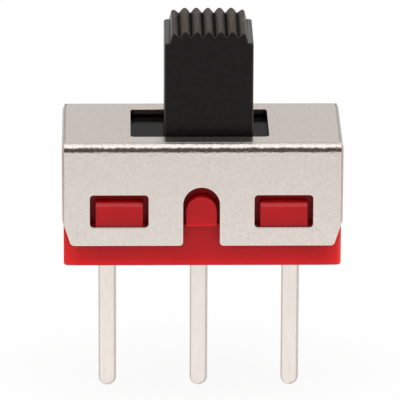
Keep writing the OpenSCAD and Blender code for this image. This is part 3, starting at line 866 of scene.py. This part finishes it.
@dataclass
class RedBase:
    """The moulded base: a wide foot, an open box with snap lugs and keys, and the potting below it."""

    middle_x: float = 0.13
    depth: float = 6.16
    foot_length: float = 14.08
    foot_top: float = 2.02
    foot_corner: Arc = Arc(0.15, 6)
    foot_upright: Arc = Arc(0.12, 5)
    box_length: float = 13.53
    rim: float = 5.19
    cavity: Vector = extent(12.03, 4.76)
    recess: float = 0.45
    front: float = 3.41
    root: float = 2.73
    lug_width: float = 2.4
    lug_low: float = 2.2
    lug_top: float = 3.46
    lug_bevel: float = 0.17
    pocket: Vector = extent(2.97, z=1.75)
    key_pocket: Vector = extent(2.06, z=2.2)
    key_width: float = 1.56
    key_low: float = 2.23
    key_top: float = 3.77
    key_arc: Arc = Arc.full(key_width, 16)
    hole: Vector = extent(0.95, 0.54)
    edge: Arc = Arc(0.06)
    unseen: Vector = extent(5.0, 2.78)  # from the middle to where the edges inside the box stay sharp
    slanted: float = 0.3  # how far the normal of a slanted face reaches along both axes
    potting_grid: tuple[int, int] = (120, 48)
    potting_sag: float = 0.07
    potting_climb: float = 0.2

    def lug(self, x: float, wall: int) -> Solid:
        """One snap lug.

        Args:
            x: Where its middle lies.
            wall: -1 for the front wall and 1 for the back wall.

        Returns:
            The lug.
        """
        profile = [
            (self.root, self.lug_low), (self.front, self.lug_low),
            (self.front, self.lug_top - self.lug_bevel), (self.front - self.lug_bevel, self.lug_top),
            (self.root, self.lug_top),
        ]
        made = Solid.prism([at(x - self.lug_width / 2, wall * y, z) for y, z in profile], at(self.lug_width))
        return made.softened(self.edge)

    def key(self, wall: int) -> Solid:
        """The round-topped key in a notch.

        Args:
            wall: -1 for the front wall and 1 for the back wall.

        Returns:
            The key.
        """
        middle = at(OPENINGS_X, wall * (self.root + self.front) / 2, (self.key_low + self.key_top) / 2)
        made = Solid.about(middle, at(self.key_width, self.front - self.root, self.key_top - self.key_low))
        return made.rounded(Axis.Y, self.key_arc, lambda m: m.z > middle.z).softened(self.edge)

    def shell(self) -> Solid:
        """The outside of the base.

        Returns:
            The base, still solid.
        """
        x, d = self.middle_x, self.depth / 2
        half_foot, half_box = self.foot_length / 2, self.box_length / 2
        foot = Solid.block(at(x - half_foot, -d), at(x + half_foot, d, self.foot_top))
        foot.rounded(Axis.Y, self.foot_corner, lambda m: m.z < MERGE)
        foot.softened(self.foot_upright, lambda m: abs(m.x - x) > half_foot - self.foot_corner.radius
                      and abs(m.y) > d - MERGE)
        box = Solid.block(at(x - half_box, -d, self.recess), at(x + half_box, d, self.rim))
        return foot.taking(Join.ADD, box)

    def pockets(self) -> Iterable[Solid]:
        """The tools for the shallow pockets that the lugs and the keys stand in.

        Yields:
            The tools.
        """
        outside = self.depth / 2 + PAST
        lug, key = (self.lug_low, self.pocket), (self.key_low, self.key_pocket)
        for wall in SIDES:
            for place, (low, size) in zip(PLACES, (lug, key, lug)):
                x = OPENINGS_X + place * OPENINGS_PITCH / 2
                middle = at(x, wall * (self.root + outside) / 2, low + size.z / 2)
                yield Solid.about(middle, size + at(y=outside - self.root))

    def hollows(self) -> Iterable[Solid]:
        """The tools for the cavity, the recess and the terminals' holes.

        Yields:
            The tools.
        """
        low, high = (at(self.middle_x) + side * self.cavity / 2 for side in SIDES)
        yield Solid.block(low + at(z=FLOOR), high + at(z=self.rim + PAST))
        yield Solid.block(low - at(z=PAST), high + at(z=self.recess))
        for place in PLACES:
            yield Solid.about(at(place * PITCH, 0, FLOOR / 2), self.hole + at(z=2 * PAST))

    def build(self) -> None:
        """Builds the base and its potting."""
        whole = self.shell().taking(Join.CUT, *self.hollows(), *self.pockets())
        whole.softened(self.edge, lambda m: abs(m.y) > self.unseen.y
                       or abs(m.x - self.middle_x) > self.unseen.x)
        for wall in SIDES:
            whole.taking(Join.ADD, self.key(wall))
            for side in SIDES:
                whole.taking(Join.ADD, self.lug(OPENINGS_X + side * OPENINGS_PITCH / 2, wall))
        settle(whole, "red_base", Body.HOUSING, "base", (RED, RED_EDGE_HIGHLIGHT), self.finish_of)
        settle(self.potting(), "potting", Body.HOUSING, "terminal_seal", (POTTING,))

    def finish_of(self, middle: Vector, normal: Vector) -> int:
        """Says whether a face is a slanted edge of a lug or key, which gets the painted highlight (1) and not
        0.
        """
        return int(normal.z > self.slanted < abs(normal.y) and abs(middle.y) > self.root + self.edge.radius)

    def potting(self) -> Solid:
        """The resin in the underside, sunk between the walls and the blades that it climbs.

        Returns:
            The resin.
        """
        box = Box.of("terminal_seal")
        place = Matrix.Translation(at(*box.middle.xy, box.low.z)) @ Matrix.Diagonal((*box.size.xy, 1.0, 1.0))
        across, ahead = self.potting_grid
        made = Solid(bmesh.ops.create_grid, x_segments=across, y_segments=ahead, size=0.5, matrix=place)
        for vert in made.bm.verts:
            near = min(box.high.x - vert.co.x, vert.co.x - box.low.x, box.high.y - abs(vert.co.y))
            for blade in PLACES:
                aside = abs(vert.co.x - blade * PITCH) - self.hole.x / 2
                near = min(near, math.hypot(max(aside, 0), max(abs(vert.co.y) - self.hole.y / 2, 0)))
            vert.co.z += self.potting_sag * (1 - math.exp(-near / self.potting_climb))
        for vert in made.drawn_out(made.bm.faces):
            vert.co.z = box.high.z
        return made.outwards()


@dataclass
class Slider:
    """The moulded slider: a ridged grip, a flange under the frame and a boss with the spring's pocket."""

    width: float = 4.5
    depth: float = 4.05
    top: float = 12.12
    ridges: int = 7
    ridge_faces: int = 7
    groove: float = 0.27
    ridge_flat: float = 0.08
    ridge_lift: float = 0.105
    outer_drop: float = 0.105
    outer_out: float = 0.05
    shoulder: float = 0.275
    shoulder_drop: float = 0.6
    shoulder_edge: Arc = Arc(0.12, 5)
    flank: float = 0.16
    upright_edge: Arc = Arc(0.1, 5)
    edge: Arc = Arc(0.05)
    flange: Vector = extent(9.64, 5.6, 1.0)
    flange_top: float = 6.24
    boss_radius: float = 1.5
    boss_low: float = 4.24
    pocket_radius: float = 0.85
    sides: int = 64
    upright: float = 0.05  # how far up the normal of an upright face reaches at most
    level: float = 0.4  # how far up the normal of a ridge's rounded top reaches at least
    turned: float = 0.1  # how far ahead the normal of a rounded rim reaches at least
    slanted: float = 0.3  # how far the normal of a rounded upright edge reaches both ways

    @property
    def pitch(self) -> float:
        """The distance between two ridges."""
        return 2 * (self.width / 2 - self.shoulder - self.flank - self.ridge_flat / 2) / (self.ridges - 1)

    @property
    def flange_middle(self) -> float:
        """How high the middle of the flange lies."""
        return self.flange_top - self.flange.z / 2

    @property
    def shoulder_top(self) -> float:
        """How high the grip's two shoulders lie."""
        return self.top - self.shoulder_drop

    def outline(self) -> list[Vector]:
        """The grip's outline on its front face, up over ridges that are still sharp.

        Returns:
            Its corners in order.
        """
        half, reach, level = self.width / 2, self.width / 2 - self.shoulder, self.shoulder_top
        last = (self.ridges - 1) / 2
        corners = [(half, self.flange_middle), (-half, self.flange_middle), (-half, level), (-reach, level)]
        for ridge in range(self.ridges):
            place = ridge - last
            outer = int(abs(place) == last)
            out = math.copysign(self.outer_out * outer, place)
            corners.append((place * self.pitch + out, self.top + self.ridge_lift - self.outer_drop * outer))
            if place < last:
                corners.append(((place + 0.5) * self.pitch, self.top - self.groove))
        corners += [(reach, level), (half, level)]
        return [at(REST_X + x, -self.depth / 2, z) for x, z in corners]

    def grip(self) -> Solid:
        """The grip with rounded ridges and upright edges.

        Returns:
            The grip.
        """
        made = Solid.prism(self.outline(), at(y=self.depth))
        slope = math.atan2(self.groove + self.ridge_lift, self.pitch / 2)
        radius = self.ridge_lift / (1 / math.cos(slope) - 1)
        peak = Arc(radius * math.tan(slope), self.ridge_faces)
        made.rounded(Axis.Y, peak, lambda m: m.z > self.top - self.outer_drop)
        half, shoulder = self.width / 2, self.shoulder_top
        made.rounded(Axis.Z, self.upright_edge, lambda m: abs(m.x - REST_X) > half - MERGE)
        made.softened(self.shoulder_edge, lambda m: abs(m.z - shoulder) < MERGE
                      and abs(m.x - REST_X) > half - self.upright_edge.radius)
        return made.softened(self.edge, lambda m: m.z > shoulder - self.shoulder_edge.radius)

    def build(self) -> None:
        """Builds the slider."""
        low, middle = at(REST_X, 0, self.boss_low), at(REST_X, 0, self.flange_middle)
        boss = Solid.rod(low, middle - low, self.boss_radius, self.sides)
        boss.softened(self.edge, lambda m: m.z < middle.z - self.edge.radius)
        rise = at(z=SPRING_TOP - self.boss_low + PAST)
        pocket = Solid.rod(low - at(z=PAST), rise, self.pocket_radius, self.sides)
        whole = Solid.about(middle, self.flange).softened(self.edge)
        whole.taking(Join.ADD, self.grip(), boss).taking(Join.CUT, pocket)
        finishes = (BLACK, BLACK_SLIDE, BLACK_RIDGE_LIT_SHADED, BLACK_RIM_HIGHLIGHT)
        settle(whole, "slider_grip", Body.ACTUATOR, "slider", finishes, self.finish_of)

    def finish_of(self, middle: Vector, normal: Vector) -> int:
        """Which of its finishes a face has.

        Args:
            middle: The face's middle.
            normal: The way that it faces.

        Returns:
            0 for the grip's sides, 1 for what slides under the frame, 2 for a ridge, with painted light on
            its crest and painted shade in its grooves, and 3 for an edge with a painted highlight.
        """
        across, ahead, up = map(abs, normal)
        if middle.z < self.flange_top + self.edge.radius:
            return 1
        if up < self.upright:
            return 3 * int(min(across, ahead) > self.slanted)
        if ahead > self.turned or abs(middle.x - REST_X) > self.width / 2 - self.shoulder:
            return 3
        return 2 * int(up > self.level)


@dataclass
class Terminals:
    """The three flat terminals, with full-round tips, shoulders and staked heads."""

    width: float = 0.91
    thickness: float = 0.5
    length: float = 7.63
    head: float = 1.7
    shoulder: Vector = extent(1.71, 0.5, 0.25)
    shoulder_top: float = 0.45
    tip: Arc = Arc.full(width, 14)
    edge: Arc = Arc(0.13, 4)
    shade_reach_plus_x: float = 0.99  # faces on the side towards +X whose normal reaches less far ahead than this get the sides' painted shade
    shade_reach_minus_x: float = 0.9  # the same on the side towards -X, where the painted shade is narrower

    def blade(self, x: float) -> Solid:
        """One terminal.

        Args:
            x: Where it stands in the row.

        Returns:
            The terminal.
        """
        middle = at(x, 0, (self.head - self.length) / 2)
        made = Solid.about(middle, at(self.width, self.thickness, self.head + self.length))
        made.rounded(Axis.Y, self.tip, lambda m: m.z < middle.z)
        made.taking(Join.ADD, Solid.about(at(x, 0, self.shoulder_top - self.shoulder.z / 2), self.shoulder))
        return made.softened(self.edge)

    def build(self) -> None:
        """Builds the terminals."""
        for place, name in zip(PLACES, ("left", "common", "right")):
            settle(self.blade(place * PITCH), f"blade_{name}", Body.HOUSING, f"terminal_{name}",
                   (TINNED, TINNED_SIDE_SHADED), self.finish_of)

    def finish_of(self, middle: Vector, normal: Vector) -> int:
        """Says whether a face gets the painted shade of a blade's side, which is 1 and not 0."""
        return int(abs(normal.y) < (self.shade_reach_plus_x if normal.x > 0 else self.shade_reach_minus_x))


@dataclass
class PlungerAndSpring:
    """The round-tipped plunger and the coil spring that presses it down."""

    radius: float = 0.8
    tip: float = 2.785
    tip_arc: Arc = Arc.full(2 * radius, 16)
    seat: float = 6.285
    spigot_radius: float = 0.4
    spigot: float = 0.6
    edge: Arc = Arc(0.05)
    spigot_edge: Arc = Arc(0.1)
    sides: int = 48
    wire: float = 0.2
    coil_radius: float = 0.67
    turns: int = 9
    steps: int = 36
    wire_sides: int = 14
    closed: float = 0.22
    stroke: float = 0.4

    def plunger(self) -> Solid:
        """The plunger with its spigot.

        Returns:
            The plunger.
        """
        made = Solid.rod(at(REST_X, 0, self.tip), at(z=self.seat - self.tip), self.radius, self.sides)
        foot = [e for e in made.bm.edges if all(v.co.z < self.tip + MERGE for v in e.verts)]
        made.bevelled(foot, self.tip_arc).softened(self.edge, lambda m: m.z > self.seat - self.edge.radius)
        low = at(REST_X, 0, self.seat - self.spigot)
        spigot = Solid.rod(low, at(z=2 * self.spigot), self.spigot_radius, self.sides)
        return made.taking(Join.ADD, spigot.softened(self.spigot_edge, lambda m: m.z > self.seat))

    def spring(self) -> Solid:
        """The coil with a closed turn at each end.

        Returns:
            The spring.
        """
        start = at(REST_X + self.coil_radius, 0, self.seat + self.wire / 2)
        turn = Matrix.Translation(start) @ Matrix.Rotation(math.pi / 2, 4, "X")
        made = Solid(bmesh.ops.create_circle, segments=self.wire_sides, radius=self.wire / 2, matrix=turn)
        ring, rise = made.bm.edges[:], SPRING_TOP - self.seat - self.wire
        for count, lift in ((1, self.closed), (self.turns - 2, rise - 2 * self.closed), (1, self.closed)):
            steps = count * self.steps
            spun = bmesh.ops.spin(made.bm, geom=ring, cent=at(REST_X), axis=Axis.Z.value,
                                  dvec=at(z=lift / steps), angle=count * math.tau, steps=steps,
                                  use_duplicate=False, use_merge=False)
            ring = [e for e in spun["geom_last"] if isinstance(e, Edge)]
        made.on_all(bmesh.ops.remove_doubles, dist=MERGE)
        rims = [e for e in made.bm.edges if e.is_boundary]
        bmesh.ops.holes_fill(made.bm, edges=rims, sides=self.wire_sides)
        return made.outwards()

    def build(self) -> None:
        """Builds the plunger and the spring, and gives the spring a mesh of its own; the real spring shortens
        as the plunger rises.
        """
        settle(self.plunger(), "plunger_pin", Body.PLUNGER, "plunger", (WHITE,))
        coil = settle(self.spring(), "spring_coil", Body.ACTUATOR, "plunger_spring", (SPRING_WIRE,))
        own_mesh(coil)


@dataclass
class Contacts:
    """The rocker, the forked cradle that carries it and the two fixed contact plates."""

    sheet: float = 0.4
    edge: Arc = Arc(0.04, 2)
    pivot: float = 2.58
    blade: Vector = extent(0.93, 0.52)
    plate: Range = (3.025, 5.505)
    plate_depth: float = 2.4
    plate_corner: Arc = Arc(0.16, 5)
    dome: Vector = extent(3.7, z=1.54)
    dome_radius: float = 0.5
    dome_rings: int = 24
    cradle_length: float = 1.9
    ear_length: float = 1.2
    ear_y: Range = (1.45, 1.85)
    ear_top: float = 3.03
    fork: float = 0.23
    fork_arc: Arc = Arc.full(2 * fork, 12)
    trunnion: float = 0.2
    trunnion_reach: float = 1.84
    trunnion_sides: int = 32
    strip: float = 0.35
    strip_width: float = 2.4
    strip_half: float = 4.3
    strip_cuts: int = 95
    trough: float = 3.8197
    wing_low: float = 0.0715
    rest_tilt: float = 3.375

    def hole(self, x: float) -> Solid:
        """The tool that cuts the hole for the head of a blade that stands at x."""
        return Solid.about(at(x, 0, FLOOR + self.sheet / 2), self.blade + at(z=self.sheet + 2 * PAST))

    def fixed(self, side: int) -> Solid:
        """One fixed contact plate with its dome.

        Args:
            side: -1 for the left one and 1 for the right one.

        Returns:
            The plate.
        """
        inner, outer = (side * x for x in self.plate)
        middle = at((inner + outer) / 2, 0, FLOOR + self.sheet / 2)
        plate = Solid.about(middle, at(abs(outer - inner), self.plate_depth, self.sheet))
        plate.rounded(Axis.Z, self.plate_corner).taking(Join.CUT, self.hole(side * PITCH)).softened(self.edge)
        place = Matrix.Translation(at(side * self.dome.x, 0, self.dome.z))
        dome = Solid(bmesh.ops.create_uvsphere, u_segments=2 * self.dome_rings, v_segments=self.dome_rings,
                     radius=self.dome_radius, matrix=place)
        bmesh.ops.holes_fill(dome.bm, edges=dome.split(middle, clear_inner=True))
        return plate.taking(Join.ADD, dome.outwards())

    def cradle(self) -> Solid:
        """The forked cradle.

        Returns:
            The cradle.
        """
        low, ear = at(z=FLOOR), self.ear_length / 2
        corner = at(self.cradle_length / 2, self.ear_y[1])
        whole = Solid.block(low - corner, low + corner + at(z=self.sheet))
        for wall in SIDES:
            near, far = (wall * y for y in self.ear_y)
            whole.taking(Join.ADD, Solid.block(at(-ear, near, FLOOR), at(ear, far, self.ear_top)))
        out, half = self.ear_y[1] + PAST, self.fork
        fork = Solid.block(at(-half, -out, self.pivot - half), at(half, out, self.ear_top + PAST))
        fork.rounded(Axis.Y, self.fork_arc, lambda m: m.z < self.pivot)
        return whole.taking(Join.CUT, fork, self.hole(0)).softened(self.edge)

    def rocker(self) -> Solid:
        """The rocker's bent strip with its trunnions.

        Returns:
            The rocker.
        """
        middle = at(z=self.wing_low + self.strip / 2)
        strip = Solid.about(middle, at(2 * self.strip_half, self.strip_width, self.strip))
        lengths = strip.along(Axis.X)
        bmesh.ops.subdivide_edges(strip.bm, edges=lengths, cuts=self.strip_cuts, use_grid_fill=True)
        centre = self.strip / 2 + self.trough
        for vert in strip.bm.verts:
            radius = self.trough + (self.strip if vert.co.z < middle.z else 0)
            if abs(vert.co.x) < radius:
                vert.co.z = min(vert.co.z, centre - math.sqrt(radius ** 2 - vert.co.x ** 2))

        def on_rim(edge: Edge) -> bool:
            """Says whether an edge is on the strip's outline.

            Args:
                edge: The edge.

            Returns:
                Whether it is.
            """
            ahead, across = (min(abs(v.co[axis]) for v in edge.verts) for axis in (1, 0))
            on_side = ahead > self.strip_width / 2 - MERGE and edge.calc_face_angle(0.0) > SMOOTH_UNDER
            return on_side or across > self.strip_half - MERGE

        strip.outwards().bevelled([e for e in strip.bm.edges if on_rim(e)], self.edge)
        out, pivot = at(y=self.trunnion_reach), at(z=self.pivot)
        rod = Solid.rod(-out, 2 * out, self.trunnion, self.trunnion_sides).softened(self.edge)
        tilt = Matrix.Rotation(math.radians(self.rest_tilt), 3, Axis.Y.value)
        strip.taking(Join.ADD, rod).on_all(bmesh.ops.translate, vec=pivot)
        return strip.on_all(bmesh.ops.rotate, cent=pivot, matrix=tilt)

    def build(self) -> None:
        """Builds the contacts."""
        settle(self.rocker(), "rocker_strip", Body.ROCKER, "rocker", (SILVERED,))
        settle(self.cradle(), "cradle_fork", Body.HOUSING, "cradle", (SILVERED,))
        for side, name in zip(SIDES, ("left", "right")):
            settle(self.fixed(side), f"plate_{name}", Body.HOUSING, f"contact_{name}", (SILVERED,))


@dataclass(frozen=True)
class Card:
    """A card that stands in the surroundings, out of the camera's sight.

    Its angles are in degrees: the way it stands, and between which two it fades out to the sides, below and
    above.
    """

    azimuth: float
    reach: Range
    low: Range
    high: Range
    colour: Colour


@dataclass
class Studio:
    """Floor, light and camera."""

    aim: Vector = extent(0.055, 0.0, 2.433)
    azimuth: float = -0.976
    elevation: float = 19.66
    roll: float = 0.213
    distance: float = 293.0
    lens: float = 515.3
    sensor: float = 36.0
    clip: Range = (10.0, 10000.0)
    floor_size: float = 3000.0
    floor_colour: Colour = (0.93, 0.93, 0.93)
    floor_glow: float = 1.02  # to the camera
    glow_share: float = 0.85  # the rest of the floor's light is reflected
    # how the glow that the switch sees falls off: from which strength to which, and between which distances
    falls: tuple[tuple[Range, Range], ...] = (((1.2, 0.92), (12, 48)), ((1.0, 0.45), (100, 220)))
    lamp_distance: float = 600.0
    lamp_elevation: float = 72.0
    lamp_size: Vector = extent(1100.0, 534.0)
    lamp_colour: Colour = (0.96, 1.0, 1.03)
    lamp_radiance: float = 0.5
    cards: tuple[Card, ...] = (
        Card(azimuth=0, reach=(16, 40), low=(-3, 4), high=(50, 59), colour=(0.3, 0.27, 0.25)),
        Card(azimuth=180, reach=(60, 90), low=(-10, 0), high=(68, 84), colour=(0.77, 0.765, 0.76)),
        Card(azimuth=180, reach=(60, 90), low=(-10, -5), high=(3, 12), colour=(0.4, 0.39, 0.38)),
    )

    def direction(self, azimuth: float, elevation: float) -> Vector:
        """The way to an azimuth, 0 in front and 90 at +X, and an elevation, both in degrees."""
        a, e = math.radians(azimuth), math.radians(elevation)
        return at(math.sin(a) * math.cos(e), -math.cos(a) * math.cos(e), math.sin(e))

    def place(self, thing: bpy.types.Object, way: Vector, distance: float) -> None:
        """Puts a lamp or the camera at a distance from the aim and turns it towards the aim.

        Args:
            thing: The lamp or camera.
            way: The way from the aim to it.
            distance: How far away it stands.
        """
        bpy.context.scene.collection.objects.link(thing)
        thing.location = (self.aim + way * distance) * MM
        thing.rotation_mode = "QUATERNION"
        thing.rotation_quaternion = (-way).to_track_quat("-Z", "Y")

    def camera(self) -> None:
        """Makes the camera."""
        data = bpy.data.cameras.new("camera")
        data.lens, data.sensor_width = self.lens, self.sensor
        data.clip_start, data.clip_end = (length * MM for length in self.clip)
        made = bpy.data.objects.new("camera", data)
        self.place(made, self.direction(self.azimuth, self.elevation), self.distance)
        made.rotation_quaternion @= Quaternion(Axis.Z.value, math.radians(self.roll))
        bpy.context.scene.camera = made

    def lamp(self) -> None:
        """Makes the soft lamp overhead."""
        data = bpy.data.lights.new("overhead", "AREA")
        data.shape = "RECTANGLE"
        data.size, data.size_y = self.lamp_size.x * MM, self.lamp_size.y * MM
        data.color = self.lamp_colour
        data.energy = self.lamp_radiance * math.pi * data.size * data.size_y
        way = self.direction(0, self.lamp_elevation)
        self.place(bpy.data.objects.new("overhead", data), way, self.lamp_distance)

    def floor(self) -> None:
        """Makes the pale floor at the terminals' tips, which glows evenly for the camera alone."""
        level = Matrix.Translation(at(z=Box.of("terminal_common").low.z))
        half = self.floor_size / 2
        made = Solid(bmesh.ops.create_grid, x_segments=1, y_segments=1, size=half, matrix=level)
        floor = made.on_all(bmesh.ops.scale, vec=TO_METRES).shown("floor")
        floor.data.materials.append(bpy.data.materials.new("white_floor"))
        nodes = Nodes(floor.active_material)
        away = nodes.add("VectorMath", "Value", {"Vector": nodes.place()}, operation="LENGTH")
        seen = nodes.product(*(
            nodes.spread(away, *ends, (near * MM, far * MM), "SMOOTHSTEP")
            for ends, (near, far) in self.falls
        ))
        sight = nodes.add("LightPath", "Is Camera Ray")
        strength = nodes.add("Mix", "Result_Float", {
            "Factor_Float": sight, "A_Float": seen, "B_Float": self.floor_glow,
        }, data_type="FLOAT")
        nodes.ends_in("Material", nodes.add("MixShader", "Shader", {
            "Fac": self.glow_share, "Shader": nodes.add("BsdfDiffuse", "BSDF", {"Color": self.floor_colour}),
            "Shader_001": nodes.add("Emission", "Emission", {"Strength": strength}),
        }))

    def world(self) -> None:
        """Makes the white surroundings, where grey cards stand that only the switch sees."""
        bpy.context.scene.world = bpy.data.worlds.new("studio")
        nodes = Nodes(bpy.context.scene.world)
        sight = nodes.add("TexCoord", "Generated")

        def toward(way: Vector) -> Socket:
            """How far a line of sight reaches along a direction."""
            given = {"Vector": sight, "Vector_001": way}
            return nodes.add("VectorMath", "Value", given, operation="DOT_PRODUCT")

        def step(source: Socket, low: float, high: float, within: Range) -> Socket:
            """A soft step between two angles, in degrees."""
            return nodes.spread(source, low, high, tuple(map(math.radians, within)), "SMOOTHSTEP")

        height = nodes.maths("ARCSINE", toward(Axis.Z.value))
        unseen = nodes.maths("SUBTRACT", 1.0, nodes.add("LightPath", "Is Camera Ray"))
        colour = (1.0, 1.0, 1.0)
        for card in self.cards:
            right, ahead = (toward(self.direction(card.azimuth + turn, 0)) for turn in (90, 0))
            aside = nodes.maths("ABSOLUTE", nodes.maths("ARCTAN2", right, ahead))
            share = nodes.product(step(height, 0, 1, card.low), step(height, 1, 0, card.high),
                                  step(aside, 1, 0, card.reach), unseen)
            colour = nodes.mixed(share, colour, card.colour, "MULTIPLY")
        nodes.ends_in("World", nodes.add("Background", "Background", {"Color": colour}))

    def build(self) -> None:
        """Makes the floor, the surroundings, the lamp and the camera."""
        self.floor()
        self.world()
        self.lamp()
        self.camera()
        bpy.context.scene.view_settings.view_transform = "Standard"


def main() -> None:
    """Builds every piece in order, then the studio."""
    logging.basicConfig(level=logging.INFO, format="%(message)s")
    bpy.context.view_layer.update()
    for assembly in (SteelFrame, RedBase, Slider, Terminals, PlungerAndSpring, Contacts, Studio):
        assembly().build()


if __name__ == "__main__":
    main()
